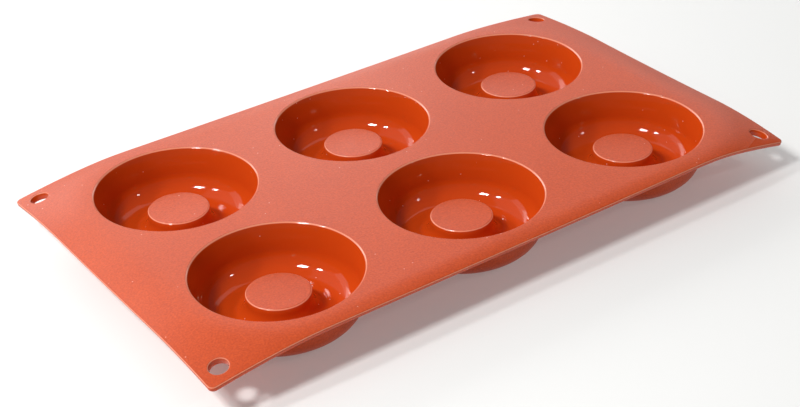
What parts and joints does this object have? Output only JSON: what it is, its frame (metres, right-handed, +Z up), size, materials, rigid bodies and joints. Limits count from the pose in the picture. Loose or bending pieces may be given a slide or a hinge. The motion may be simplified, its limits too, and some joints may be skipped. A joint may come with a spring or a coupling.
{
  "type": "savarin mould",
  "caption": "Flexible silicone baking mould: a thin sheet with a grid of round cups, each with a post in its middle that makes a ring cake, and holes to hang it up by.",
  "frame": {"origin": "on the table under the centre of the sheet: the plane Z = 0 is the one that the cups stand on", "axes": "+Z up, out of the cups' mouths; +X along the long side of the sheet; +Y along its short side"},
  "size_m": [0.3, 0.175, 0.023],
  "materials": {
    "silicone": "moulded silicone rubber, fine matte grain on the sheet and the posts, smooth and glossy in the cups"
  },
  "bodies": {
    "root": {"mould": "silicone"}
  },
  "joints": []
}
